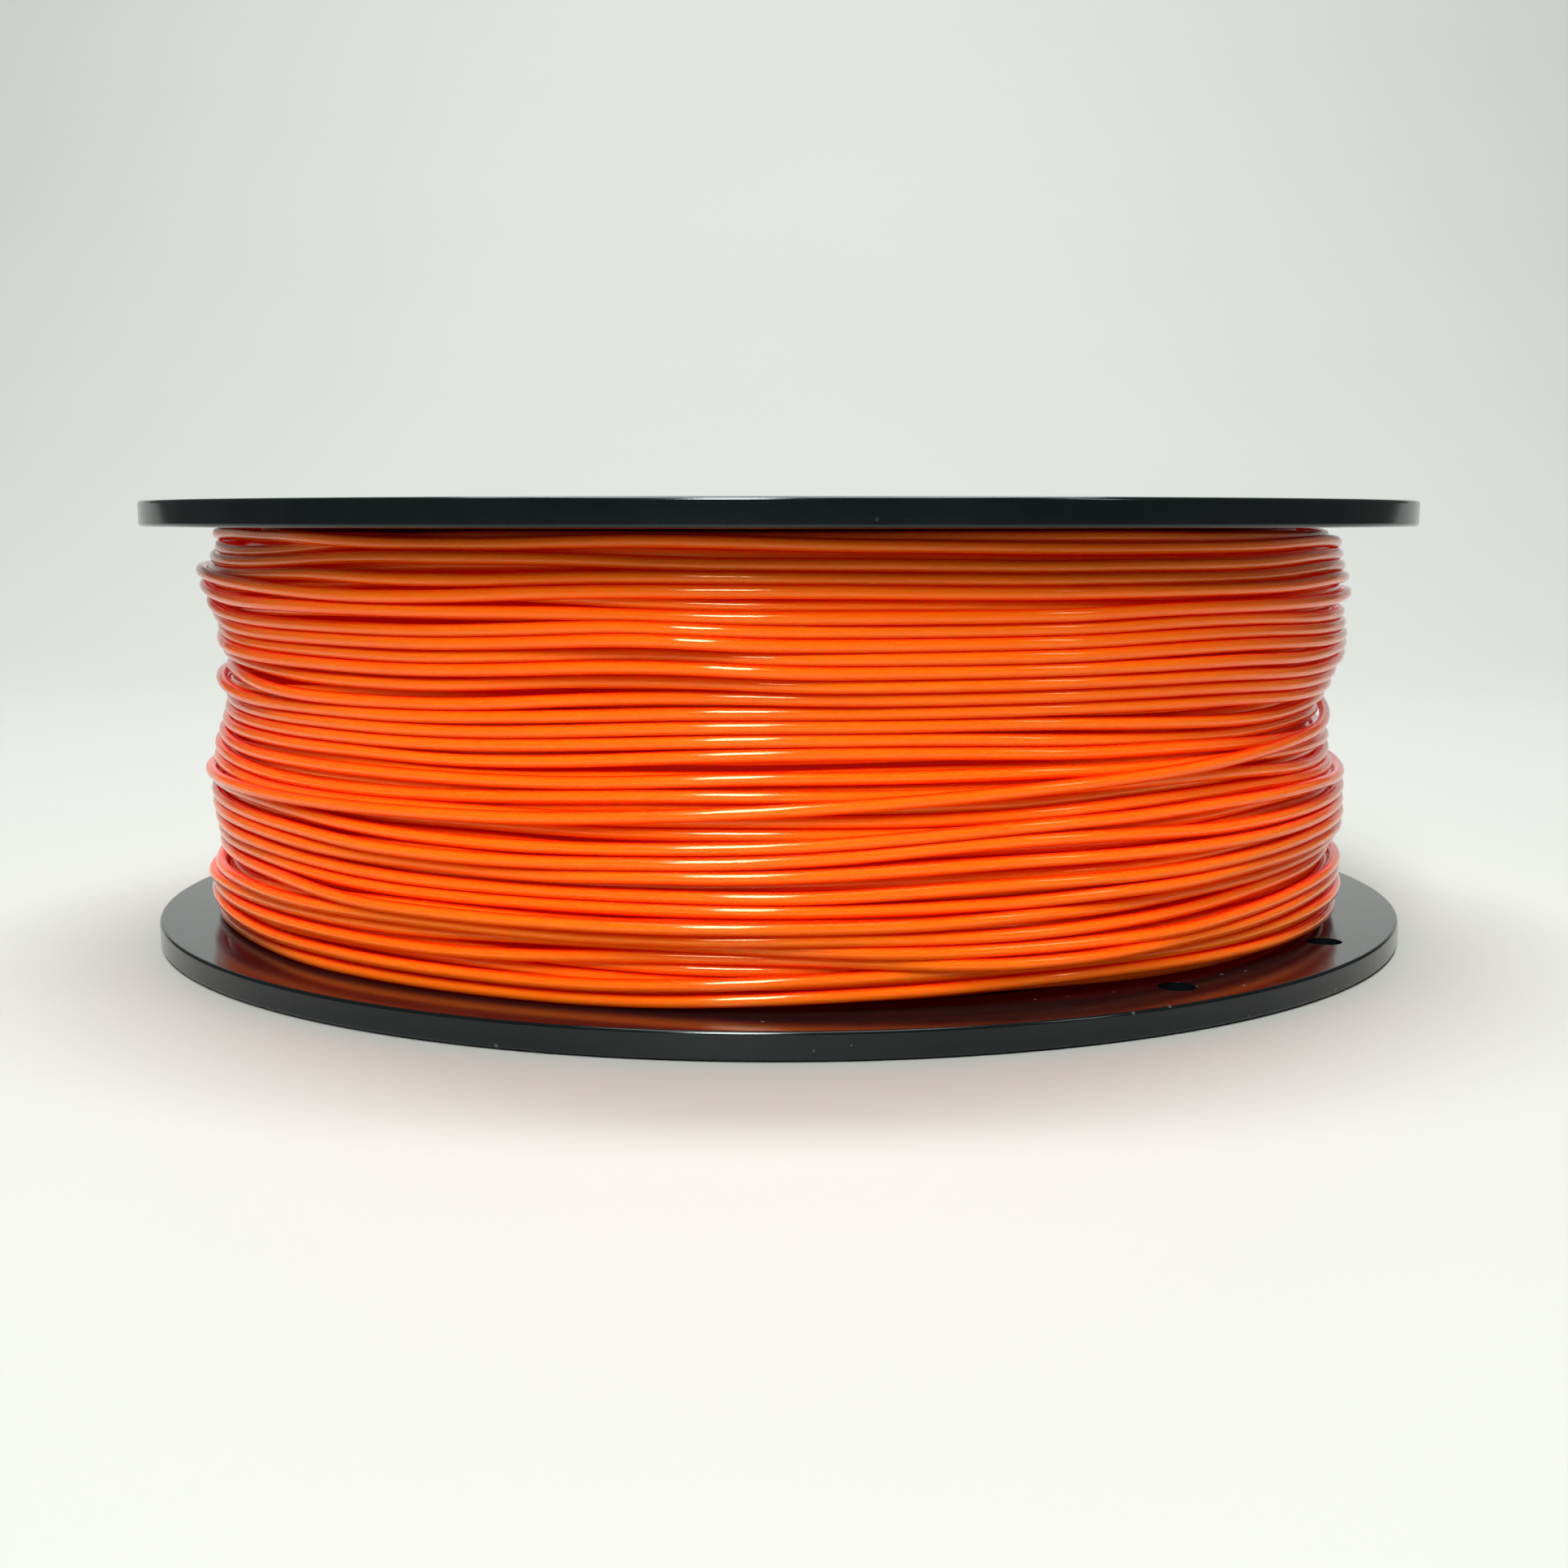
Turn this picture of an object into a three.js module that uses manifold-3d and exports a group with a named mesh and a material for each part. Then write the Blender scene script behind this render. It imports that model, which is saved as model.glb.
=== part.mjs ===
// A 1 kg spool of 1.75 mm printer filament, lying on its side: two moulded flanges, the drum that
// clips them together, and one strand of filament wound on the drum.
// Millimetres, +Z up along the spool's axis. The origin is the centre of the lower flange's outer face.
import * as THREE from "three";
import { mergeVertices } from "three/addons/utils/BufferGeometryUtils.js";
import Module from "manifold-3d";

const wasm = await Module();
wasm.setup();

// ---- Driving dimensions ------------------------------------------------------------------------
const SPOOL_WIDTH = 67.5; // over both outer faces
const RIM_RADIUS = 100;
const RIM_THICKNESS = 3.75;
const RIM_FILLET = 0.5;
const BORE_RADIUS = 27; // runs on the holder's spindle
const BORE_CHAMFER = 0.5;
const BOSS_RADIUS = 34; // flat ring round the bore, level with the rim
const PANEL_RADIUS = 87; // the outer face is recessed from the boss to here
const PANEL_DEPTH = 1.4;
const PANEL_DRAFT = 0.5;
const PAD_RADIUS = 81.9; // raised disc on the inner face
const PAD_HEIGHT = 0.7;
const PAD_DRAFT = 0.3;
const HOLE_RADIUS = 2.6; // keeps the free end of the strand
const HOLE_CIRCLE_RADIUS = 92;
const HOLE_AZIMUTHS = [35.2, 60.6];

const DRUM_RADIUS = 51;
const DRUM_WALL = 2.2;
const HUB_TUBE_WALL = 2.2;
const RIB_COUNT = 6;
const RIB_THICKNESS = 1.8;
const HOOK_COUNT = 6;
const HOOK_WIDTH = 12;
const HOOK_THICKNESS = 1.8;
const HOOK_CATCH = 1.6; // how far the hook's head reaches over the flange
const HOOK_ROOT = 6; // length of the hook's root inside the drum
const HOOK_TIP_SINK = 0.35; // the hook's tip stays this far below the spool's outer face
const START_HOLE_RADIUS = 1.4; // lets the first end of the strand into the drum
const START_HOLE_Z = 9;
const START_AZIMUTH = 150;

const STRAND_DIAMETER = 1.75;
const GAP = 0.3; // between pieces that touch

// The winding's outer surface, as [height, radius]: crowns where turns have piled up, dips between.
const WINDING_OUTLINE = [
  [4.75, 90.6],
  [8, 91.4],
  [13, 90.3],
  [17, 90],
  [21.5, 90.8],
  [29, 89.6],
  [34, 89.2],
  [40, 88.5],
  [47, 89.2],
  [51.5, 89.5],
  [54.5, 91.1],
  [58, 89.9],
  [61, 89.5],
  [62.75, 88.2],
];

// The strand's last turn, as [azimuth in degrees, height]: it lies beside its neighbour, climbs across
// the turns under it, and goes up through a hole in the upper flange.
const LAST_TURN = [
  [-150, 26.4],
  [-110, 26.6],
  [-70, 27],
  [-40, 27.3],
  [-18, 27.7],
  [0, 29.1],
  [20, 31],
  [38, 32.4],
  [54, 33.8],
  [70, 34.7],
  [84, 36],
  [98, 39.2],
  [112, 44.2],
  [126, 50.8],
  [135, 55.6],
  [140.6, 58.9],
  [142.6, 61.1],
  [144.1, 63.8],
  [144.7, 65.4],
  [145.1, 66.6],
];

const RING_SEGMENTS = 96;
const TUBE_SEGMENTS = 64;
const HOLE_SEGMENTS = 24;
const FILLET_STEPS = 3;
const STRAND_SIDES = 8;
const LAST_TURN_STEPS = 80;

const INNER_FACE = RIM_THICKNESS + PAD_HEIGHT; // height of the lower flange's pad
const CORE_BOTTOM = INNER_FACE + GAP;
const CORE_TOP = SPOOL_WIDTH - CORE_BOTTOM;
const WINDING_TOP = WINDING_OUTLINE.at(-1)[0];
const STRAND_RADIUS = STRAND_DIAMETER / 2;

// ---- Helpers -----------------------------------------------------------------------------------
const degrees = THREE.MathUtils.degToRad;

// The point at an azimuth counted from the front (-Y) towards +X.
function onCircle(azimuth, radius, z) {
  const a = degrees(azimuth);
  return new THREE.Vector3(radius * Math.sin(a), -radius * Math.cos(a), z);
}

// A closed three.js geometry as a solid. Its faces are turned round if they point inwards.
function solid(geometry) {
  const bare = geometry.clone();
  bare.deleteAttribute("normal");
  bare.deleteAttribute("uv");
  const merged = mergeVertices(bare, 1e-4);
  const positions = merged.attributes.position.array;
  const corners = new Uint32Array(merged.index.array);
  const make = () =>
    new wasm.Manifold(
      new wasm.Mesh({ numProp: 3, vertProperties: positions, triVerts: corners }),
    );
  const made = make();
  if (made.volume() > 0) return made;
  for (let i = 0; i < corners.length; i += 3) {
    [corners[i + 1], corners[i + 2]] = [corners[i + 2], corners[i + 1]];
  }
  return make();
}

function geometryOf(made) {
  const mesh = made.getMesh();
  const geometry = new THREE.BufferGeometry();
  geometry.setAttribute("position", new THREE.BufferAttribute(mesh.vertProperties, 3));
  geometry.setIndex(new THREE.BufferAttribute(mesh.triVerts, 1));
  geometry.computeVertexNormals();
  return geometry;
}

// A ring turned about Z from a closed outline of [radius, height] points.
function turned(outline, segments) {
  const points = [...outline, outline[0]].map(([r, z]) => new THREE.Vector2(r, z));
  return solid(new THREE.LatheGeometry(points, segments).rotateX(Math.PI / 2));
}

function tube(innerRadius, outerRadius, bottom, top) {
  return turned(
    [
      [innerRadius, bottom],
      [outerRadius, bottom],
      [outerRadius, top],
      [innerRadius, top],
    ],
    TUBE_SEGMENTS,
  );
}

// A box that reaches from one radius to another at an azimuth, from one height to another.
function radialBox(azimuth, innerRadius, outerRadius, width, bottom, top) {
  const box = new THREE.BoxGeometry(outerRadius - innerRadius, width, top - bottom);
  box.translate((innerRadius + outerRadius) / 2, 0, (bottom + top) / 2);
  return solid(box.rotateZ(degrees(azimuth - 90)));
}

// A quarter circle of [radius, height] points about a centre, between two angles in degrees.
function arc(centreRadius, centreHeight, radius, from, to) {
  return Array.from({ length: FILLET_STEPS + 1 }, (_, i) => {
    const a = degrees(from + ((to - from) * i) / FILLET_STEPS);
    return [centreRadius + radius * Math.cos(a), centreHeight + radius * Math.sin(a)];
  });
}

// The strand along a smooth curve through the points given.
function strand(points, steps) {
  const section = new THREE.Shape();
  for (let i = 0; i < STRAND_SIDES; i += 1) {
    const a = (2 * Math.PI * i) / STRAND_SIDES;
    const corner = [STRAND_RADIUS * Math.cos(a), STRAND_RADIUS * Math.sin(a)];
    if (i === 0) section.moveTo(...corner);
    else section.lineTo(...corner);
  }
  section.closePath();
  const route = new THREE.CatmullRomCurve3(points, false, "centripetal");
  return solid(new THREE.ExtrudeGeometry(section, { steps, extrudePath: route }));
}

// The winding's radius at a height, between the points of its outline.
function windingRadius(z) {
  for (let i = 1; i < WINDING_OUTLINE.length; i += 1) {
    const [z0, r0] = WINDING_OUTLINE[i - 1];
    const [z1, r1] = WINDING_OUTLINE[i];
    if (z <= z1) return THREE.MathUtils.mapLinear(Math.max(z, z0), z0, z1, r0, r1);
  }
  return WINDING_OUTLINE.at(-1)[1];
}

// ---- Flange ------------------------------------------------------------------------------------
// One moulding, used at both ends. Its outer face is at z = 0 and its inner face looks up.
function flangeSolid() {
  const filletCentre = RIM_RADIUS - RIM_FILLET;
  let flange = turned(
    [
      [BORE_RADIUS + BORE_CHAMFER, 0],
      [BOSS_RADIUS, 0],
      [BOSS_RADIUS + PANEL_DRAFT, PANEL_DEPTH],
      [PANEL_RADIUS - PANEL_DRAFT, PANEL_DEPTH],
      [PANEL_RADIUS, 0],
      ...arc(filletCentre, RIM_FILLET, RIM_FILLET, -90, 0),
      ...arc(filletCentre, RIM_THICKNESS - RIM_FILLET, RIM_FILLET, 0, 90),
      [PAD_RADIUS + PAD_DRAFT, RIM_THICKNESS],
      [PAD_RADIUS, INNER_FACE],
      [BORE_RADIUS + BORE_CHAMFER, INNER_FACE],
      [BORE_RADIUS, INNER_FACE - BORE_CHAMFER],
      [BORE_RADIUS, BORE_CHAMFER],
    ],
    RING_SEGMENTS,
  );
  for (const azimuth of HOLE_AZIMUTHS) {
    const drill = new THREE.CylinderGeometry(
      HOLE_RADIUS,
      HOLE_RADIUS,
      4 * RIM_THICKNESS,
      HOLE_SEGMENTS,
    );
    const centre = onCircle(azimuth, HOLE_CIRCLE_RADIUS, 0);
    flange = flange.subtract(solid(drill.rotateX(Math.PI / 2).translate(centre.x, centre.y, 0)));
  }
  // The slot leaves room on the inner side for the hook to bend as it goes in.
  const slotOuter = DRUM_RADIUS - DRUM_WALL;
  const slotInner = slotOuter - HOOK_THICKNESS - HOOK_CATCH - 3 * GAP;
  for (const azimuth of hookAzimuths()) {
    flange = flange.subtract(
      radialBox(azimuth, slotInner, slotOuter, HOOK_WIDTH + 2 * GAP, -1, INNER_FACE + 1),
    );
  }
  return flange;
}

// ---- Core --------------------------------------------------------------------------------------
function hookAzimuths() {
  return Array.from({ length: HOOK_COUNT }, (_, i) => ((i + 0.5) * 360) / HOOK_COUNT);
}

// A snap hook at the lower end: its root joins the drum's wall, and its head reaches outwards under
// the flange's recessed panel.
function hookGeometry() {
  const outer = DRUM_RADIUS - DRUM_WALL - GAP;
  const inner = outer - HOOK_THICKNESS;
  const catchHeight = PANEL_DEPTH - GAP;
  const outline = [
    [inner, CORE_BOTTOM + HOOK_ROOT],
    [outer + 2 * GAP, CORE_BOTTOM + HOOK_ROOT],
    [outer + 2 * GAP, CORE_BOTTOM],
    [outer, CORE_BOTTOM],
    [outer, catchHeight],
    [outer + HOOK_CATCH, catchHeight],
    [outer + HOOK_CATCH, catchHeight - GAP],
    [outer + GAP, HOOK_TIP_SINK],
    [inner, HOOK_TIP_SINK],
  ];
  const shape = new THREE.Shape(outline.map(([r, z]) => new THREE.Vector2(r, z)));
  const bar = new THREE.ExtrudeGeometry(shape, { depth: HOOK_WIDTH, bevelEnabled: false });
  return bar.translate(0, 0, -HOOK_WIDTH / 2).rotateX(Math.PI / 2);
}

function coreSolid() {
  const drumInner = DRUM_RADIUS - DRUM_WALL;
  const tubeOuter = BORE_RADIUS + HUB_TUBE_WALL;
  let core = tube(drumInner, DRUM_RADIUS, CORE_BOTTOM, CORE_TOP);
  core = core.add(tube(BORE_RADIUS, tubeOuter, CORE_BOTTOM, CORE_TOP));
  const bite = 0.6; // how far a rib runs into the walls that it joins
  for (let i = 0; i < RIB_COUNT; i += 1) {
    const azimuth = (i * 360) / RIB_COUNT;
    core = core.add(
      radialBox(azimuth, tubeOuter - bite, drumInner + bite, RIB_THICKNESS, CORE_BOTTOM, CORE_TOP),
    );
  }
  for (const azimuth of hookAzimuths()) {
    const lower = hookGeometry().rotateZ(degrees(azimuth - 90));
    const upper = lower.clone().scale(1, 1, -1).translate(0, 0, SPOOL_WIDTH);
    core = core.add(solid(lower)).add(solid(upper));
  }
  const drill = new THREE.CylinderGeometry(
    START_HOLE_RADIUS,
    START_HOLE_RADIUS,
    4 * DRUM_WALL,
    HOLE_SEGMENTS,
  );
  drill.rotateZ(Math.PI / 2).translate(DRUM_RADIUS, 0, START_HOLE_Z);
  return core.subtract(solid(drill.rotateZ(degrees(START_AZIMUTH - 90))));
}

// ---- Filament ----------------------------------------------------------------------------------
function windingSolid() {
  const innerRadius = DRUM_RADIUS + GAP;
  const outline = [
    [innerRadius, CORE_BOTTOM],
    ...WINDING_OUTLINE.map(([z, r]) => [r, z]),
    [innerRadius, CORE_TOP],
  ];
  return turned(outline, RING_SEGMENTS);
}

// The first end of the strand comes in through the drum's wall and lies bent along it.
function startTailSolid() {
  const depth = DRUM_RADIUS - DRUM_WALL;
  const route = [
    onCircle(START_AZIMUTH, DRUM_RADIUS - GAP, START_HOLE_Z),
    onCircle(START_AZIMUTH, depth - 1, START_HOLE_Z),
    onCircle(START_AZIMUTH + 2, depth - 3.4, START_HOLE_Z + 0.6),
    onCircle(START_AZIMUTH + 7, depth - 4, START_HOLE_Z + 2),
    onCircle(START_AZIMUTH + 14, depth - 3, START_HOLE_Z + 4),
    onCircle(START_AZIMUTH + 22, depth - 1.6, START_HOLE_Z + 6),
  ];
  return strand(route, 14);
}

function lastTurnSolid() {
  const slopeRoom = 0.25; // the winding's crowns lean towards the strand's sides
  const plan = LAST_TURN.map(([azimuth, z]) => new THREE.Vector3(azimuth, 0, z));
  const points = new THREE.CatmullRomCurve3(plan, false, "centripetal").getPoints(2 * LAST_TURN_STEPS);
  const route = points.map(({ x: azimuth, z }) => {
    const resting = windingRadius(z) + GAP + STRAND_RADIUS + slopeRoom;
    return onCircle(azimuth, Math.max(resting, z > WINDING_TOP ? HOLE_CIRCLE_RADIUS : 0), z);
  });
  return strand(route, LAST_TURN_STEPS);
}

// ---- The spool ---------------------------------------------------------------------------------
const BLACK_PLASTIC = { color: 0x17191b, roughness: 0.3, metalness: 0 };
const ORANGE_FILAMENT = { color: 0xf0620c, roughness: 0.25, metalness: 0 };

function piece(name, made, look) {
  const mesh = new THREE.Mesh(geometryOf(made), new THREE.MeshStandardMaterial(look));
  mesh.name = name;
  return mesh;
}

const flange = flangeSolid();
const lowerFlange = piece("lower_flange", flange, BLACK_PLASTIC);
const upperFlange = piece("upper_flange", flange, BLACK_PLASTIC);
upperFlange.rotation.x = Math.PI; // turned over, which brings its holes to the back
upperFlange.position.z = SPOOL_WIDTH;

const spoolBody = new THREE.Group();
spoolBody.add(lowerFlange, upperFlange, piece("core_drum", coreSolid(), BLACK_PLASTIC));

const filament = new THREE.Group();
filament.add(
  piece("filament_start_tail", startTailSolid(), ORANGE_FILAMENT),
  piece("filament_winding", windingSolid(), ORANGE_FILAMENT),
  piece("filament_last_turn", lastTurnSolid(), ORANGE_FILAMENT),
);

const spool = new THREE.Group();
spool.add(spoolBody, filament);

export default spool;
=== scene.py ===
"""A full spool of orange printer filament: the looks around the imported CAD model.

Metres, +Z up along the spool's axis, front towards -Y, as the CAD frame has it. The strand is laid turn by
turn on the turns under it, so that it nests, gaps and crosses as a machine-wound spool does. That part of
the script works in millimetres.
"""
import math

import bmesh
import bpy
import numpy as np
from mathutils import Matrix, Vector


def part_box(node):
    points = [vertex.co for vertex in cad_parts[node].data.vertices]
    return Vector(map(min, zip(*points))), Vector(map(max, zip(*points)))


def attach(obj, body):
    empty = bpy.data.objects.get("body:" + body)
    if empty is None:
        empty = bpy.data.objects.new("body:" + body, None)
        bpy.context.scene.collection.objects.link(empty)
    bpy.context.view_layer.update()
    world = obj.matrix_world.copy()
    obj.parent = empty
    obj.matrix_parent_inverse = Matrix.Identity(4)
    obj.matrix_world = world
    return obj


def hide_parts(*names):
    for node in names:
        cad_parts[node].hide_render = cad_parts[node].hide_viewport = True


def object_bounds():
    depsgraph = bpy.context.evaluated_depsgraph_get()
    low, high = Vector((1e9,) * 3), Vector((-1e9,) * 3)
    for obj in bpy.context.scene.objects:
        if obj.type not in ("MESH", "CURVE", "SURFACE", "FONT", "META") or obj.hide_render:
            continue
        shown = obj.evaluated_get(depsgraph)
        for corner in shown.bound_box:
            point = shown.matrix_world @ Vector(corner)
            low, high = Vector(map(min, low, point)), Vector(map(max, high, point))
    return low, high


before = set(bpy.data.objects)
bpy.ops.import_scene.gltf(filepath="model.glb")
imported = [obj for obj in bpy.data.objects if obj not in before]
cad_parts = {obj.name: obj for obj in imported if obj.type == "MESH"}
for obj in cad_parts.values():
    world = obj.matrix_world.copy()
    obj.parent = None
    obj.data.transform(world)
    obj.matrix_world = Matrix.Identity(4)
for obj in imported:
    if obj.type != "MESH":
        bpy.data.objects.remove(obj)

cad_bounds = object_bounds()

MM = 0.001
SEED = 25

# ---- Sizes, in millimetres ----------------------------------------------------------------------
SPOOL_WIDTH = cad_bounds[1][2] / MM
RIM_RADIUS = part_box("lower_flange")[1][0] / MM
INNER_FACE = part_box("lower_flange")[1][2] / MM
PAD_HEIGHT = 0.7
RIM_THICKNESS = INNER_FACE - PAD_HEIGHT
PAD_RADIUS = 81.9
PANEL_RADIUS = 87.0
PANEL_DEPTH = 1.4
PANEL_DRAFT = 0.5
PAD_DRAFT = 0.3
BOSS_RADIUS = 34.0
BORE_RADIUS = 27.0
HOLE_RADIUS = 2.6
HOLE_CIRCLE_RADIUS = 92.0
HOLE_AZIMUTHS = (35.2, 60.6)
DRUM_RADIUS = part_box("core_drum")[1][0] / MM
DRUM_WALL = 2.2
DRUM_INNER = DRUM_RADIUS - DRUM_WALL
SLOT_DEPTH = 4.3  # how far a hook's slot reaches in from the drum's wall
SLOT_WIDTH = 12.6
SLOT_AZIMUTHS = tuple(30 + 60 * i for i in range(6))
FLANGE_SEGMENTS = 288
HOLE_SEGMENTS = 48
CUT_REACH = 12.0  # a cutting tool reaches this far up through a flange, and half as far below it
FLOOR_GAP = 0.2  # the floor lies this far under the spool

STRAND_RADIUS = 0.875
WINDING_BOTTOM = 3.85
WINDING_TOP = 63.6
TURN_PITCH = 1.93
LAYER_RISE = 1.8
OUTER_LAYER_TOP = 26.6  # the outermost layer was wound only up to here
OUTER_OVERLAP = 4  # from this far below its top, it hides the layer under it
DRUM_GAP = 0.3  # from the drum's outer face to the inner layers, and to the tip of the first end
FLANGE_GAP = 0.1  # from the flanges to the inner layers

# The winding's outline on the left and on the right: height, left radius, right radius.
OUTLINE = np.array(
    (
        (4.1, 91.2, 91.0),
        (8.0, 92.4, 91.7),
        (12.5, 90.6, 89.8),
        (16.5, 90.8, 89.0),
        (20.5, 90.9, 91.4),
        (25.0, 91.2, 90.2),
        (29.0, 90.6, 89.0),
        (33.0, 89.8, 86.9),
        (37.0, 88.7, 86.7),
        (41.0, 87.7, 88.2),
        (47.0, 89.1, 90.1),
        (51.5, 89.6, 89.4),
        (54.8, 91.8, 91.1),
        (58.0, 90.0, 90.0),
        (62.7, 89.4, 88.8),
    )
)

# The last turn's route, as azimuth from the front towards +X in degrees, and height.
LAST_TURN = (
    (-150, 26.4),
    (-110, 26.6),
    (-70, 27.0),
    (-40, 27.3),
    (-18, 27.7),
    (0, 29.1),
    (20, 31.0),
    (38, 32.4),
    (54, 33.8),
    (70, 34.7),
    (84, 36.0),
    (98, 39.2),
    (112, 44.2),
    (126, 50.8),
    (135, 55.6),
    (140.6, 58.9),
    (142.6, 61.1),
    (144.1, 63.8),
    (144.7, 65.4),
    (145.1, 66.6),
)
START_AZIMUTH = 150
START_HOLE_Z = 9

# Where turns crowd together: azimuth, height, share by which they close up.
GATHERS = (
    (-80, 58.5, 0.5),
    (80, 58.5, 0.5),
    (35, 57.0, 0.5),
    (-58, 36.8, 0.6),
    (52, 21.5, 0.5),
    (-60, 9.5, 0.5),
    (26, 8.6, 0.55),
    (-8, 15.6, 0.5),
    (2, 38.0, 0.4),
    (-22, 48.4, 0.45),
    (130, 30.0, 0.5),
    (-140, 44.0, 0.5),
    (170, 14.0, 0.5),
)
GATHER_HEIGHT = 3.2
GATHER_WIDTH = 22.0  # in degrees along the turns


# ---- Small geometry helpers ---------------------------------------------------------------------
def on_circle(azimuth, radius, z):
    """Points in millimetres, at azimuths in degrees counted from -Y towards +X."""
    a = np.radians(azimuth)
    return np.stack(np.broadcast_arrays(radius * np.sin(a), -radius * np.cos(a), z), axis=-1)


def mesh_object(name, vertices, faces, smooth=True):
    """A mesh object from vertices in millimetres."""
    mesh = bpy.data.meshes.new(name)
    mesh.from_pydata((np.asarray(vertices) * MM).tolist(), [], faces)
    mesh.validate()
    mesh.update()
    if smooth:
        mesh.shade_smooth()
    thing = bpy.data.objects.new(name, mesh)
    bpy.context.scene.collection.objects.link(thing)
    return thing


def rounded(outline, steps=4):
    """A closed outline of (radius, height, corner radius) with its corners turned into arcs."""
    points = []
    for i, (x, y, fillet) in enumerate(outline):
        corner = np.array((x, y))
        if not fillet:
            points.append(corner)
            continue
        back = np.array(outline[i - 1][:2]) - corner
        ahead = np.array(outline[(i + 1) % len(outline)][:2]) - corner
        back /= np.linalg.norm(back)
        ahead /= np.linalg.norm(ahead)
        half = math.acos(np.clip(np.dot(back, ahead), -1, 1)) / 2
        along = fillet / math.tan(half)
        start, end = corner + back * along, corner + ahead * along
        middle = (back + ahead) / np.linalg.norm(back + ahead)
        centre = corner + middle * fillet / math.sin(half)
        a0, a1 = start - centre, end - centre
        sweep = math.atan2(a0[0] * a1[1] - a0[1] * a1[0], np.dot(a0, a1))
        for k in range(steps + 1):
            t = sweep * k / steps
            c, s = math.cos(t), math.sin(t)
            points.append(centre + (a0[0] * c - a0[1] * s, a0[0] * s + a0[1] * c))
    return points


def turned(name, outline, segments):
    """A ring turned about Z from a closed outline of (radius, height), counterclockwise."""
    count = len(outline)
    rings = [on_circle(360 * i / segments, 1, 0)[:2] for i in range(segments)]
    vertices = [(r * x, r * y, z) for x, y in rings for r, z in outline]
    faces = []
    for i in range(segments):
        a, b = i * count, (i + 1) % segments * count
        for j in range(count):
            k = (j + 1) % count
            faces.append((a + j, b + j, b + k, a + k))
    return mesh_object(name, vertices, faces)


def outward(thing):
    """Makes a closed mesh's faces point out."""
    shape = bmesh.new()
    shape.from_mesh(thing.data)
    bmesh.ops.recalc_face_normals(shape, faces=shape.faces)
    shape.to_mesh(thing.data)
    shape.free()


def apply_modifiers(thing):
    """Puts the result of the modifiers into the mesh."""
    depsgraph = bpy.context.evaluated_depsgraph_get()
    mesh = bpy.data.meshes.new_from_object(thing.evaluated_get(depsgraph))
    thing.modifiers.clear()
    thing.data = mesh


# ---- Laying the strand --------------------------------------------------------------------------
STATIONS = 240  # steps in one turn
STATION_STEP = 360 / STATIONS
CELL = 0.1  # the surface's steps in height
AZIMUTHS = -180 + 360 * np.arange(STATIONS) / STATIONS
HEIGHTS = np.arange(WINDING_BOTTOM, WINDING_TOP + CELL / 2, CELL)
CAP_CELLS = np.arange(-8, 9)  # the cells under a strand, from its centre
CAP = np.sqrt(STRAND_RADIUS**2 - (CAP_CELLS * CELL) ** 2)
FAR_INSIDE = -1e3

# Unevenness of the inner layers: how many random patterns, their depth, and the length of their waves
# along the turns in stations and across them in cells.
BUMP_PATTERNS = 6
BUMP_DEPTH = 0.09
BUMP_LENGTH = 40
BUMP_WIDTH = 60

# How a turn wanders from its place: spread in millimetres, and wave lengths in stations.
SLOW_DRIFT = 0.55
SLOW_DRIFT_LENGTHS = (14, 40)
QUICK_DRIFT = 0.2
QUICK_DRIFT_LENGTH = 12
FOLLOW = 0.75  # how much a turn follows the one before it, and not its nominal place
START_BLEND = 25  # degrees in which a turn leaves the height at which the one before it ended

random = np.random.default_rng(SEED)


def blurred(values, width):
    """values along a strand, smoothed by a bell curve of that width in stations."""
    reach = int(3 * width) + 1
    bell = np.exp(-0.5 * (np.arange(-reach, reach + 1) / width) ** 2)
    padded = np.pad(values, reach, mode="edge")
    return np.convolve(padded, bell / bell.sum(), mode="valid")


def wander(count, length):
    """A smooth random curve of unit spread, whose waves are about length samples long."""
    spectrum = np.fft.rfft(random.standard_normal(count))
    waves = np.arange(len(spectrum))
    spectrum *= np.exp(-2 * (waves * length / count) ** 2)
    curve = np.fft.irfft(spectrum, count)
    return curve / curve.std()


def bed_surface():
    """The surface that the visible layers lie on: radius at each azimuth and height."""
    left = np.interp(HEIGHTS, OUTLINE[:, 0], OUTLINE[:, 1])
    right = np.interp(HEIGHTS, OUTLINE[:, 0], OUTLINE[:, 2])
    to_right = 0.5 + 0.5 * np.sin(np.radians(AZIMUTHS))[:, None]
    outer = left * (1 - to_right) + right * to_right
    layers = np.where(HEIGHTS < OUTER_LAYER_TOP + STRAND_RADIUS, 3, 2)
    surface = outer - 2 * STRAND_RADIUS - LAYER_RISE * (layers - 1)
    for _ in range(BUMP_PATTERNS):
        bumps = np.outer(wander(STATIONS, BUMP_LENGTH), wander(len(HEIGHTS), BUMP_WIDTH))
        surface = surface + BUMP_DEPTH * bumps
    return surface


def resting_radius(surface):
    """Where the strand's centre comes to rest on the surface, at each azimuth and height."""
    reach = CAP_CELLS[-1]
    padded = np.pad(surface, ((0, 0), (reach, reach)), constant_values=FAR_INSIDE)
    count = surface.shape[1]
    shifted = [padded[:, reach + s : reach + s + count] + c for s, c in zip(CAP_CELLS, CAP)]
    return np.max(shifted, axis=0)


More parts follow.
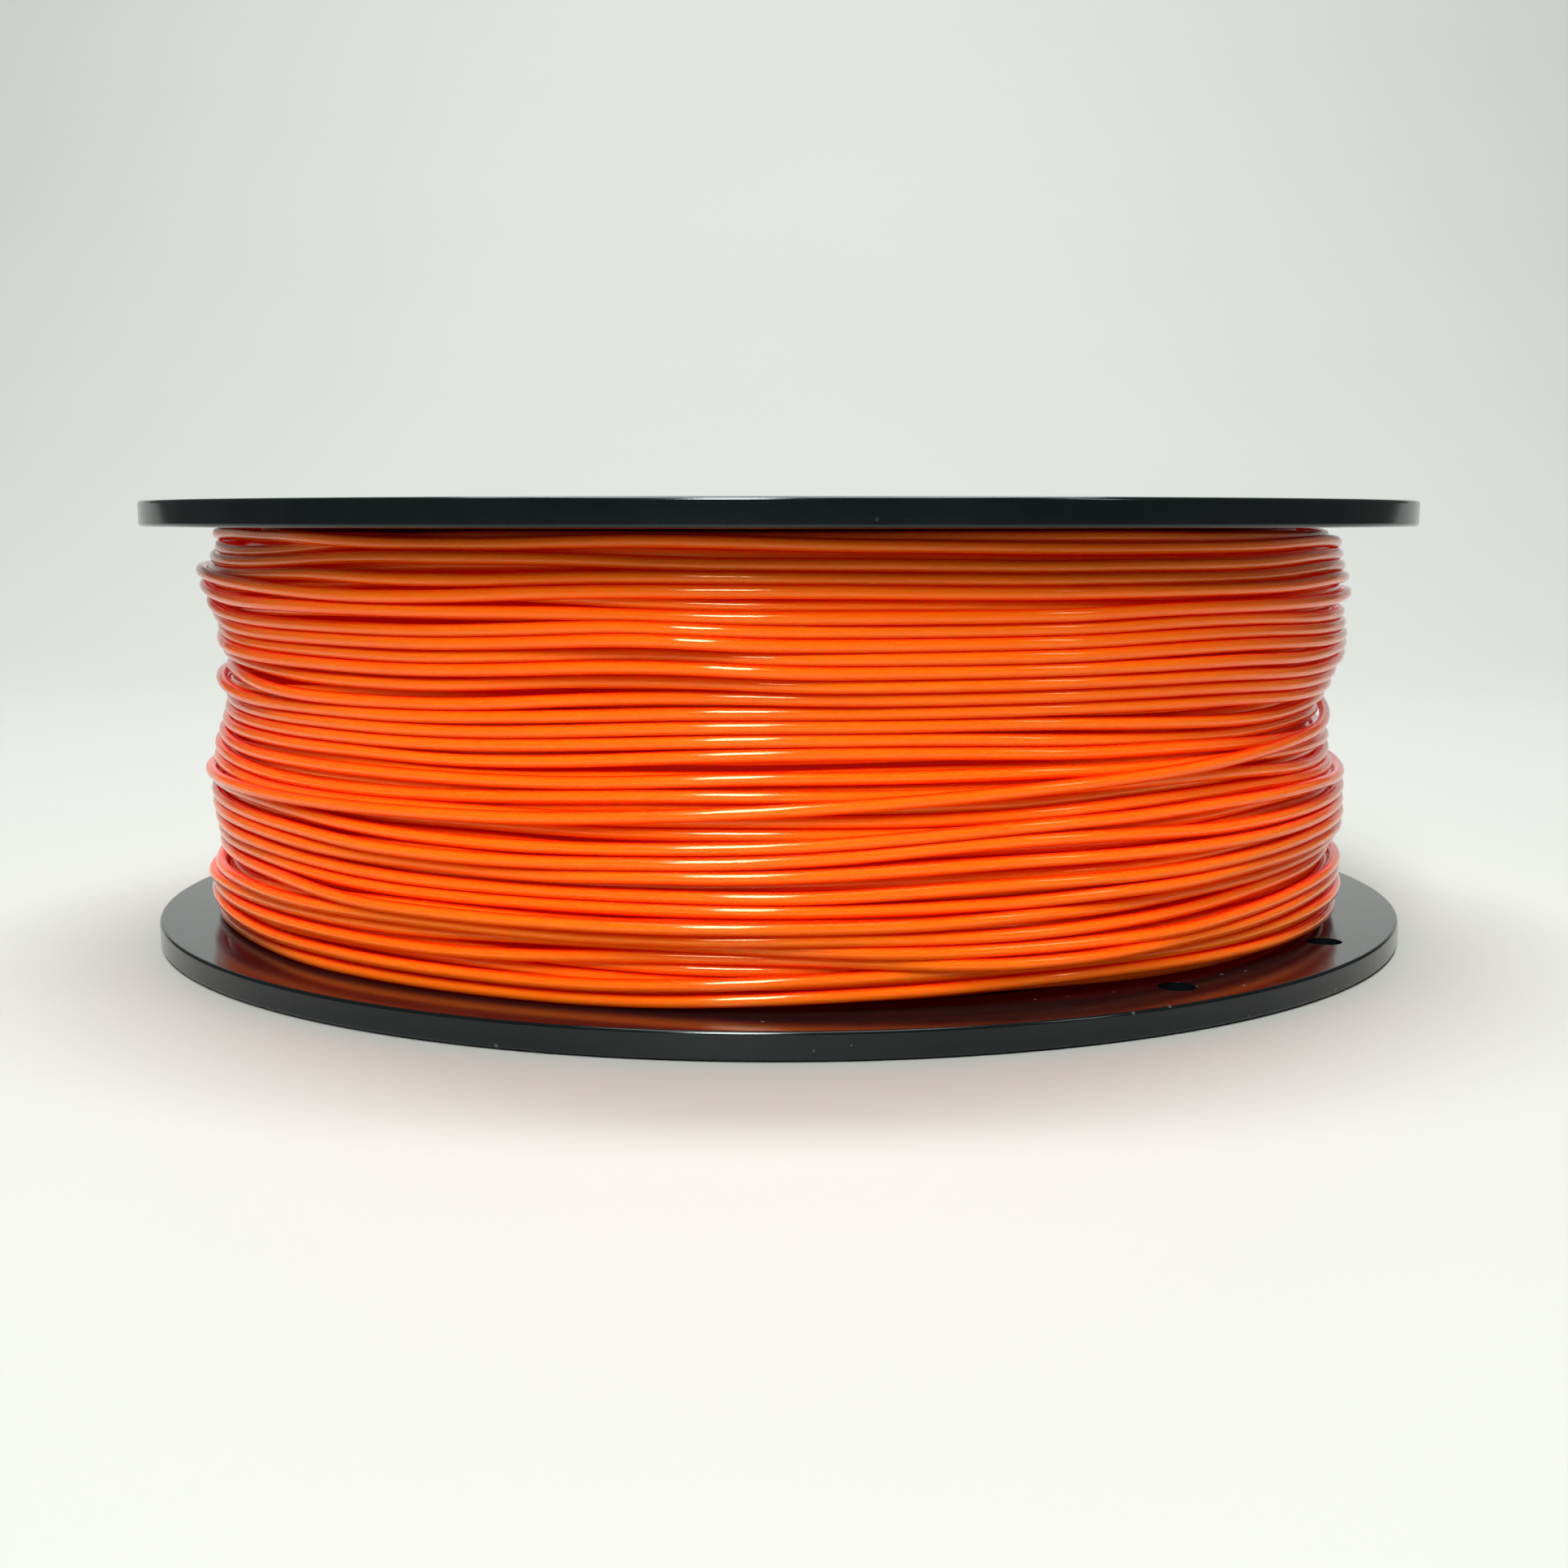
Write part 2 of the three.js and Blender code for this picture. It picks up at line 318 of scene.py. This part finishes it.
def settle(rest, wish, start):
    """The strand's heights: near its wish, drawn into the hollows of the surface, without sharp bends.

    Each turn takes the cheapest path over the surface. Its cost is how far out it rests, how far it is
    from its wish, how steeply it climbs, and how far its first point is from start.
    """
    pull, stay, stiffness, hold_start = 0.7, 0.5, 13.0, 50
    reach, smoothing = 1.3, 2.2
    offsets = np.arange(-round(reach / CELL), round(reach / CELL) + 1)
    near = np.round((wish - HEIGHTS[0]) / CELL).astype(int)
    edge = CAP_CELLS[-1] + 1
    cells = np.clip(near[:, None] + offsets, edge, len(HEIGHTS) - 1 - edge)
    z = HEIGHTS[cells]
    cost = pull * rest[np.arange(len(wish))[:, None], cells] + stay * (z - wish[:, None]) ** 2
    best = cost[0].copy()
    if start is not None:
        best += hold_start * (z[0] - start) ** 2
    came_from = np.zeros(z.shape, int)
    for k in range(1, len(wish)):
        total = best[None, :] + stiffness * (z[k][:, None] - z[k - 1][None, :]) ** 2
        came_from[k] = np.argmin(total, axis=1)
        best = cost[k] + total[np.arange(len(offsets)), came_from[k]]
    choice = np.zeros(len(wish), int)
    choice[-1] = np.argmin(best)
    for k in range(len(wish) - 1, 0, -1):
        choice[k - 1] = came_from[k][choice[k]]
    return blurred(z[np.arange(len(wish)), choice], smoothing)


def radius_on(rest, z, stations):
    """The resting radius along a strand, smoothed as a taut strand bridges small hollows."""
    bridging, smoothing = 5.0, 2.0
    place = np.clip((z - HEIGHTS[0]) / CELL, 0, len(HEIGHTS) - 1.001)
    cell = place.astype(int)
    share = place - cell
    radius = rest[stations, cell] * (1 - share) + rest[stations, cell + 1] * share
    return blurred(np.maximum(radius, blurred(radius, bridging)), smoothing)


def press(surface, z, radius, stations):
    """Adds a laid strand to the surface."""
    away = HEIGHTS[None, :] - z[:, None]
    cap = np.sqrt(np.maximum(STRAND_RADIUS**2 - away**2, 0))
    top = np.where(np.abs(away) < STRAND_RADIUS, radius[:, None] + cap, FAR_INSIDE)
    surface[stations] = np.maximum(surface[stations], top)


def gathered(z):
    """Heights round one turn, drawn towards the places where turns crowd together."""
    shift = np.zeros_like(z)
    for azimuth, height, share in GATHERS:
        along = (AZIMUTHS - azimuth + 180) % 360 - 180
        near = np.exp(-((along / GATHER_WIDTH) ** 2) - ((z - height) / GATHER_HEIGHT) ** 2)
        shift += share * near * (height - z)
    return z + shift


def lay_layer(surface, z_from, z_to, start=None):
    """One layer, turn after turn, each beside the one before. Returns the turns as (heights, radii).

    start is the height at which the layer before it ended, or None for the first layer.
    """
    count = int(abs(z_to - z_from) / TURN_PITCH)
    pitch = (z_to - z_from) / count
    stations = np.arange(STATIONS)
    turns, free = [], []
    for turn in range(count):
        nominal = z_from + pitch * (turn + (AZIMUTHS + 180) / 360)
        drift = SLOW_DRIFT * wander(STATIONS, random.uniform(*SLOW_DRIFT_LENGTHS))
        drift = drift + QUICK_DRIFT * wander(STATIONS, QUICK_DRIFT_LENGTH)
        wish = nominal + drift
        if free:
            wish = FOLLOW * (free[-1] + pitch) + (1 - FOLLOW) * nominal + drift
        free.append(wish)
        wish = gathered(wish)
        if start is not None:
            wish = wish + np.exp(-(AZIMUTHS + 180) / START_BLEND) * (start - wish[0])
        rest = resting_radius(surface)
        z = settle(rest, wish, start)
        radius = radius_on(rest, z, stations)
        press(surface, z, radius, stations)
        turns.append((z, radius))
        start = z[-1]
    return turns


def route_of(turns):
    """The points of a run of turns, joined end to end."""
    height_smoothing, radius_smoothing = 1.0, 1.5
    azimuths = np.concatenate([AZIMUTHS] * len(turns))
    heights = blurred(np.concatenate([z for z, _ in turns]), height_smoothing)
    radii = blurred(np.concatenate([r for _, r in turns]), radius_smoothing)
    return on_circle(azimuths, radii, heights)


def last_turn_route(surface, start):
    """The last turn along the listed route: over the turns under it, then up through the upper flange's
    hole.
    """
    smoothing = 3.0
    first = AZIMUTHS[1]
    azimuths = np.arange(first, LAST_TURN[-1][0], STATION_STEP)
    plan = np.array(((first, start),) + LAST_TURN)
    upright = plan[:, 1] > WINDING_TOP - 2 * STRAND_RADIUS
    lying = azimuths[azimuths < plan[~upright][-1][0]]
    z = blurred(np.interp(lying, plan[:, 0], plan[:, 1]), smoothing)
    stations = np.round((lying + 180) / STATION_STEP).astype(int) % STATIONS
    radius = radius_on(resting_radius(surface), z, stations)
    press(surface, z, radius, stations)
    into_hole = plan[upright]
    azimuth = np.concatenate((lying[:-2], into_hole[:, 0]))
    height = np.concatenate((z[:-2], into_hole[:, 1]))
    reach = np.concatenate((radius[:-2], np.full(len(into_hole), HOLE_CIRCLE_RADIUS)))
    return smooth_route(on_circle(azimuth, reach, height), 3)


def smooth_route(points, pieces):
    """A Catmull-Rom curve through the points, with that many steps from each to the next."""
    p = np.vstack((2 * points[0] - points[1], points, 2 * points[-1] - points[-2]))
    t = (np.arange(pieces) / pieces)[:, None, None]
    a, b, c, d = p[:-3], p[1:-2], p[2:-1], p[3:]
    curve = 0.5 * (
        2 * b + (c - a) * t + (2 * a - 5 * b + 4 * c - d) * t**2 + (3 * b - a - 3 * c + d) * t**3
    )
    return np.vstack((curve.transpose(1, 0, 2).reshape(-1, 3), points[-1:]))


def strand_object(name, routes, sides):
    """Closed tubes of the strand's thickness along routes in millimetres.

    Each vertex keeps how far along the strand it is, and how far its side faces out of the winding.
    """
    vertices, faces, along, facing = [], [], [], []
    around = 2 * np.pi * np.arange(sides) / sides
    for route in routes:
        base = sum(len(v) for v in vertices)
        tangent = np.gradient(route, axis=0)
        tangent /= np.linalg.norm(tangent, axis=1, keepdims=True)
        out = route * (1, 1, 0)
        out -= tangent * np.sum(out * tangent, axis=1, keepdims=True)
        out /= np.linalg.norm(out, axis=1, keepdims=True)
        side = np.cross(tangent, out)
        ring = np.cos(around)[:, None, None] * out + np.sin(around)[:, None, None] * side
        tube = (route + STRAND_RADIUS * ring).transpose(1, 0, 2).reshape(-1, 3)
        vertices.append(tube)
        steps = np.linalg.norm(np.diff(route, axis=0, prepend=route[:1]), axis=1)
        along.append(np.repeat(np.cumsum(steps), sides))
        # The filament material paints shade, and a faint red emission, on the sides that face other turns
        # from this value.
        facing.append(np.tile(np.cos(around), len(route)))
        for i in range(len(route) - 1):
            a, b = base + i * sides, base + (i + 1) * sides
            for j in range(sides):
                k = (j + 1) % sides
                faces.append((a + j, a + k, b + k, b + j))
        end = base + (len(route) - 1) * sides
        faces.append(tuple(range(base + sides - 1, base - 1, -1)))
        faces.append(tuple(range(end, end + sides)))
    thing = mesh_object(name, np.vstack(vertices), faces)
    outward(thing)
    for key, values in (("along", along), ("facing_out", facing)):
        attribute = thing.data.attributes.new(key, "FLOAT", "POINT")
        attribute.data.foreach_set("value", np.concatenate(values))
    return thing


# ---- Materials ----------------------------------------------------------------------------------
# Where a Mix node of two colours has its inputs and its result.
MIX_FIRST, MIX_SECOND, MIX_RESULT = 6, 7, 2


class Nodes:
    """A material's node tree, with a short way to add and link nodes."""

    def __init__(self, name):
        self.material = bpy.data.materials.new(name)
        self.material.use_nodes = True
        self.tree = self.material.node_tree
        self.shader = self.tree.nodes["Principled BSDF"]

    def add(self, kind, inputs=None, **settings):
        node = self.tree.nodes.new(kind)
        for key, value in settings.items():
            setattr(node, key, value)
        for key, value in (inputs or {}).items():
            self.put(node.inputs[key], value)
        return node

    def put(self, socket, value):
        if isinstance(value, bpy.types.NodeSocket):
            self.tree.links.new(value, socket)
        else:
            socket.default_value = value

    def noise(self, vector, scale, detail=2.0, roughness=0.5):
        inputs = {"Vector": vector, "Scale": scale, "Detail": detail, "Roughness": roughness}
        return self.add("ShaderNodeTexNoise", inputs).outputs["Fac"]

    def ramp(self, value, low, high, to_low, to_high):
        inputs = {
            "Value": value,
            "From Min": low,
            "From Max": high,
            "To Min": to_low,
            "To Max": to_high,
        }
        return self.add("ShaderNodeMapRange", inputs).outputs["Result"]

    def blend(self, share, first, second):
        node = self.add("ShaderNodeMix", data_type="RGBA")
        self.put(node.inputs["Factor"], share)
        self.put(node.inputs[MIX_FIRST], first)
        self.put(node.inputs[MIX_SECOND], second)
        return node.outputs[MIX_RESULT]

    def bump(self, height, distance):
        inputs = {"Height": height, "Distance": distance}
        return self.add("ShaderNodeBump", inputs).outputs["Normal"]


def filament_material():
    """Glossy orange extruded plastic.

    It lets light through. The sides that face other turns are painted a deep red, as painted shade between
    the turns. A faint red emission is painted there too, for the little light that has passed through many
    turns.
    """
    n = Nodes("orange_filament")
    place = n.add("ShaderNodeTexCoord").outputs["Object"]
    along = n.add("ShaderNodeAttribute", attribute_name="along").outputs["Fac"]
    slow = n.add("ShaderNodeCombineXYZ", {"X": along}).outputs["Vector"]
    tint = n.noise(slow, 0.02, 3.0)
    streaks = n.noise(place, 900.0, 2.0)
    facing = n.add("ShaderNodeAttribute", attribute_name="facing_out").outputs["Fac"]
    orange = n.blend(
        n.ramp(tint, 0.3, 0.7, 0.0, 1.0), (0.96, 0.14, 0.002, 1), (0.98, 0.17, 0.003, 1)
    )
    # Painted shade: the sides that face other turns get a deep red in place of the shade between the
    # turns.
    colour = n.blend(n.ramp(facing, 0.25, 0.9, 0.0, 1.0), (0.97, 0.02, 0.0005, 1), orange)
    # Painted light: a faint red emission on the sides that face other turns, standing in for light
    # scattered through many turns.
    painted_glow = n.blend(n.ramp(facing, -0.2, 0.4, 0.0, 1.0), (0.06, 0.001, 0.0, 1), (0.0, 0.0, 0.0, 1))
    n.put(n.shader.inputs["Base Color"], colour)
    n.put(n.shader.inputs["Roughness"], n.ramp(streaks, 0.3, 0.7, 0.09, 0.13))
    n.put(n.shader.inputs["Emission Color"], painted_glow)
    n.shader.inputs["Emission Strength"].default_value = 1.0
    n.shader.inputs["IOR"].default_value = 1.5
    n.shader.inputs["Specular Tint"].default_value = (1.0, 0.78, 0.55, 1)
    n.shader.inputs["Subsurface Weight"].default_value = 0.8
    n.shader.inputs["Subsurface Radius"].default_value = (1.0, 0.12, 0.03)
    n.shader.inputs["Subsurface Scale"].default_value = 1.5 * MM
    return n.material


def spool_material():
    """Black moulded plastic, semi-gloss, with dust and faint scuffs."""
    n = Nodes("black_moulded_plastic")
    place = n.add("ShaderNodeTexCoord").outputs["Object"]
    cloud = n.noise(place, 60.0, 4.0, 0.6)
    grain = n.noise(place, 2500.0, 2.0)
    specks = n.add("ShaderNodeTexVoronoi", {"Vector": place, "Scale": 260.0}).outputs["Distance"]
    dusty = n.noise(place, 35.0, 2.0)
    dust_area = n.ramp(dusty, 0.52, 0.62, 0.0, 1.0)
    dust_dot = n.ramp(specks, 0.05, 0.08, 1.0, 0.0)
    dust = n.add("ShaderNodeMath", {0: dust_area, 1: dust_dot}, operation="MULTIPLY").outputs[0]
    black = n.blend(
        n.ramp(cloud, 0.3, 0.7, 0.0, 1.0), (0.0025, 0.004, 0.0045, 1), (0.0045, 0.0065, 0.007, 1)
    )
    n.put(n.shader.inputs["Base Color"], n.blend(dust, black, (0.16, 0.155, 0.15, 1)))
    n.put(n.shader.inputs["Roughness"], n.ramp(cloud, 0.3, 0.75, 0.11, 0.16))
    n.shader.inputs["IOR"].default_value = 1.5
    n.shader.inputs["Specular IOR Level"].default_value = 0.45
    n.shader.inputs["Specular Tint"].default_value = (0.88, 0.98, 1.0, 1)
    n.put(n.shader.inputs["Normal"], n.bump(grain, 0.006 * MM))
    return n.material


def floor_material():
    """A plain pale studio surface."""
    n = Nodes("pale_floor")
    place = n.add("ShaderNodeTexCoord").outputs["Object"]
    shade = n.blend(n.noise(place, 3.0, 3.0), (0.345, 0.358, 0.344, 1), (0.365, 0.378, 0.364, 1))
    n.put(n.shader.inputs["Base Color"], shade)
    n.shader.inputs["Roughness"].default_value = 0.6
    return n.material


# ---- Camera, stage and light --------------------------------------------------------------------
def add_camera():
    data = bpy.data.cameras.new("camera")
    data.sensor_width = 36
    data.lens = 47.94
    data.shift_y = 0.0706
    data.clip_start = 0.01
    camera = bpy.data.objects.new("camera", data)
    camera.location = (0.8 * MM, -345.9 * MM, 65.05 * MM)
    camera.rotation_euler = (math.radians(79.76), 0, 0)
    bpy.context.scene.collection.objects.link(camera)
    bpy.context.scene.camera = camera


def add_stage():
    """A floor that curves up into a backdrop far behind the spool. Its sizes are in metres."""
    front, depth, bend, height, half_width = -1.4, 0.5, 1.8, 2.4, 1.15
    bend_steps = 24
    profile = [(front, 0.0)]
    for i in range(bend_steps + 1):
        a = math.pi / 2 * i / bend_steps
        profile.append((depth + bend * math.sin(a), bend * (1 - math.cos(a))))
    profile.append((depth + bend, height))
    vertices = [
        (x / MM, y / MM, z / MM - FLOOR_GAP) for y, z in profile for x in (-half_width, half_width)
    ]
    faces = [(2 * i, 2 * i + 1, 2 * i + 3, 2 * i + 2) for i in range(len(profile) - 1)]
    floor = mesh_object("studio_floor", vertices, faces)
    floor.data.materials.append(floor_material())


def add_area(name, size, power, colour, location, rotation):
    """A soft rectangular light."""
    data = bpy.data.lights.new(name, "AREA")
    data.shape = "RECTANGLE"
    data.size, data.size_y = size
    data.energy = power
    data.color = colour
    lamp = bpy.data.objects.new(name, data)
    lamp.location = location
    lamp.rotation_euler = rotation
    bpy.context.scene.collection.objects.link(lamp)


def add_softbox(name, azimuth, elevation, distance, size, power, colour):
    """A light that looks at the winding's middle from an azimuth and an elevation."""
    middle = (0, 0, 0.03)
    a, e = math.radians(azimuth), math.radians(elevation)
    toward = np.array((math.sin(a) * math.cos(e), -math.cos(a) * math.cos(e), math.sin(e)))
    add_area(name, size, power, colour, toward * distance + middle, (math.radians(90) - e, 0, a))


def add_world():
    """A dim room that shows as a pale wall, so that the softboxes keep the strand's colour deep."""
    world = bpy.data.worlds.new("studio")
    bpy.context.scene.world = world
    world.use_nodes = True
    tree = world.node_tree
    seen = tree.nodes.new("ShaderNodeLightPath").outputs["Is Camera Ray"]
    mix = tree.nodes.new("ShaderNodeMix")
    mix.data_type = "RGBA"
    tree.links.new(seen, mix.inputs["Factor"])
    mix.inputs[MIX_FIRST].default_value = (0.09, 0.094, 0.09, 1)
    mix.inputs[MIX_SECOND].default_value = (0.76, 0.77, 0.73, 1)
    tree.links.new(mix.outputs[MIX_RESULT], tree.nodes["Background"].inputs["Color"])


def add_light():
    """Three softboxes on the spool, and a wide light above it that brightens only the backdrop."""
    add_world()
    add_softbox("key_softbox", -9, 45, 1.2, (0.23, 0.8), 18, (1.0, 0.98, 0.95))
    add_softbox("side_softbox", 60, 38, 1.5, (0.1, 0.5), 1.6, (1.0, 0.99, 0.97))
    add_softbox("top_softbox", 0, 90, 1.1, (0.8, 0.8), 10.5, (1.0, 1.0, 0.98))
    white = (1.0, 1.0, 1.0)
    add_area("backdrop_light", (1.8, 0.6), 57, white, (0, 0.8, 1.9), (math.radians(25), 0, 0))


# ---- The spool's plastic pieces -----------------------------------------------------------------
def cutter(name, outline, azimuth):
    """A prism of an outline in the flange's plane, turned to an azimuth, for cutting through it."""
    a = math.radians(azimuth)
    turned_to = [
        (x * math.sin(a) + y * math.cos(a), -x * math.cos(a) + y * math.sin(a)) for x, y in outline
    ]
    count = len(outline)
    vertices = [(x, y, z) for z in (-CUT_REACH / 2, CUT_REACH) for x, y in turned_to]
    faces = [tuple(range(count)), tuple(range(2 * count - 1, count - 1, -1))]
    for i in range(count):
        j = (i + 1) % count
        faces.append((i, j, count + j, count + i))
    tool = mesh_object(name, vertices, faces, smooth=False)
    outward(tool)
    return tool


def hole_outline():
    turn = 2 * np.pi * np.arange(HOLE_SEGMENTS) / HOLE_SEGMENTS
    return [(HOLE_CIRCLE_RADIUS + HOLE_RADIUS * math.cos(t), HOLE_RADIUS * math.sin(t)) for t in turn]


def slot_outline():
    half, fillet = SLOT_WIDTH / 2, 0.6
    corners = (
        (DRUM_INNER - SLOT_DEPTH, -half, fillet),
        (DRUM_INNER, -half, fillet),
        (DRUM_INNER, half, fillet),
        (DRUM_INNER - SLOT_DEPTH, half, fillet),
    )
    return [tuple(p) for p in rounded(corners)]


def flange_piece(name, node, material):
    """The flange moulding, outer face down, with its rim, panel, pad, holes and hook slots."""
    outline = rounded(
        (
            (BORE_RADIUS, 0, 0.5),
            (BOSS_RADIUS, 0, 0.3),
            (BOSS_RADIUS + PANEL_DRAFT, PANEL_DEPTH, 0.4),
            (PANEL_RADIUS - PANEL_DRAFT, PANEL_DEPTH, 0.4),
            (PANEL_RADIUS, 0, 0.3),
            (RIM_RADIUS, 0, 0.5),
            (RIM_RADIUS, RIM_THICKNESS, 0.5),
            (PAD_RADIUS + PAD_DRAFT, RIM_THICKNESS, 0.2),
            (PAD_RADIUS, INNER_FACE, 0.15),
            (BORE_RADIUS, INNER_FACE, 0.5),
        ),
        steps=5,
    )
    flange = turned(name, outline, FLANGE_SEGMENTS)
    outward(flange)
    tools = [cutter("hole_tool", hole_outline(), a) for a in HOLE_AZIMUTHS]
    tools += [cutter("slot_tool", slot_outline(), a) for a in SLOT_AZIMUTHS]
    for tool in tools:
        cut = flange.modifiers.new("cut", "BOOLEAN")
        cut.object = tool
        cut.operation = "DIFFERENCE"
        cut.solver = "EXACT"
    bevel = flange.modifiers.new("edge", "BEVEL")
    bevel.width = 0.25 * MM
    bevel.segments = 2
    bevel.limit_method = "ANGLE"
    bevel.angle_limit = math.radians(50)
    apply_modifiers(flange)
    for tool in tools:
        bpy.data.objects.remove(tool)
    if node == "upper_flange":
        turn_over(flange)
    flange.data.shade_smooth()
    flange.data.set_sharp_from_angle(angle=math.radians(38))
    flange.modifiers.new("even_shading", "WEIGHTED_NORMAL").keep_sharp = True
    flange.data.materials.append(material)
    finish_piece(flange, node)


def turn_over(flange):
    """Turns the moulding over about X, to lie on top of the winding with its holes at the back."""
    for vertex in flange.data.vertices:
        vertex.co.y = -vertex.co.y
        vertex.co.z = SPOOL_WIDTH * MM - vertex.co.z


def finish_piece(piece, node):
    """The piece stands for that CAD node, which it hides, and joins the root body."""
    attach(piece, "root")
    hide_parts(node)


def dress_core(material):
    """The core keeps its CAD shape, with its edges softened."""
    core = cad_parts["core_drum"]
    core.data.materials.clear()
    core.data.materials.append(material)
    core.data.shade_smooth()
    core.data.set_sharp_from_angle(angle=math.radians(35))
    bevel = core.modifiers.new("edge", "BEVEL")
    bevel.width = 0.15 * MM
    bevel.segments = 2
    bevel.limit_method = "ANGLE"
    bevel.angle_limit = math.radians(40)


# ---- The filament -------------------------------------------------------------------------------
def bed_object(surface):
    """The inner layers as one ring under the visible turns."""
    inner = DRUM_RADIUS + DRUM_GAP
    bottom, top = INNER_FACE + FLANGE_GAP, SPOOL_WIDTH - INNER_FACE - FLANGE_GAP
    row_step = 6
    rows = [j for j in range(0, len(HEIGHTS), row_step) if bottom < HEIGHTS[j] < top]
    columns = []
    for k in range(STATIONS):
        outline = [(inner, bottom), (surface[k, rows[0]], bottom)]
        outline += [(surface[k, j], HEIGHTS[j]) for j in rows]
        outline += [(surface[k, rows[-1]], top), (inner, top)]
        columns.append([on_circle(AZIMUTHS[k], r, z) for r, z in outline])
    count = len(columns[0])
    faces = []
    for k in range(STATIONS):
        a, b = k * count, (k + 1) % STATIONS * count
        for j in range(count):
            i = (j + 1) % count
            faces.append((a + j, b + j, b + i, a + i))
    bed = mesh_object("filament_inner_layers", np.array(columns).reshape(-1, 3), faces)
    outward(bed)
    return bed


def wind_filament(material):
    """The wound strand: the inner layers, three layers of turns, and the last turn across them."""
    surface = bed_surface()
    bed = bed_object(surface)
    low, high = WINDING_BOTTOM + STRAND_RADIUS, WINDING_TOP - STRAND_RADIUS
    under = lay_layer(surface, low, high)
    middle = lay_layer(surface, high, low, under[-1][0][-1])
    outer = lay_layer(surface, low, OUTER_LAYER_TOP, middle[-1][0][-1])
    shown = sum(np.mean(z) > OUTER_LAYER_TOP - OUTER_OVERLAP for z, _ in middle)
    routes = [route_of(run) for run in (under, middle[:shown], middle[shown:], outer)]
    routes.append(last_turn_route(surface, outer[-1][0][-1]))
    for i in range(len(routes) - 1):
        routes[i] = np.vstack((routes[i], routes[i + 1][:1]))  # each stretch meets the next one
    pieces = (
        ("filament_under_turns", [routes[0], routes[2]], 8, "filament_winding"),
        ("filament_upper_turns", [routes[1]], 12, "filament_winding"),
        ("filament_lower_turns", [routes[3]], 12, "filament_winding"),
        ("filament_crossing_turn", [routes[4]], 16, "filament_last_turn"),
    )
    for name, parts, sides, node in pieces:
        piece = strand_object(name, parts, sides)
        piece.data.materials.append(material)
        finish_piece(piece, node)
    bed.data.materials.append(material)
    finish_piece(bed, "filament_winding")


def start_tail(material):
    """The strand's first end, bent along the inside of the drum's wall."""
    wall = DRUM_INNER
    turns = np.array((0, 0, 2, 7, 14, 22)) + START_AZIMUTH
    radii = np.array((DRUM_RADIUS - DRUM_GAP, wall - 1, wall - 3.4, wall - 4, wall - 3, wall - 1.6))
    heights = np.array((0, 0, 0.6, 2, 4, 6)) + START_HOLE_Z
    route = smooth_route(on_circle(turns, radii, heights), 8)
    tail = strand_object("filament_first_end", [route], 16)
    tail.data.materials.append(material)
    finish_piece(tail, "filament_start_tail")


add_camera()
add_stage()
add_light()
bpy.context.scene.view_settings.view_transform = "Standard"

black = spool_material()
orange = filament_material()
flange_piece("flange_below", "lower_flange", black)
flange_piece("flange_above", "upper_flange", black)
dress_core(black)
wind_filament(orange)
start_tail(orange)
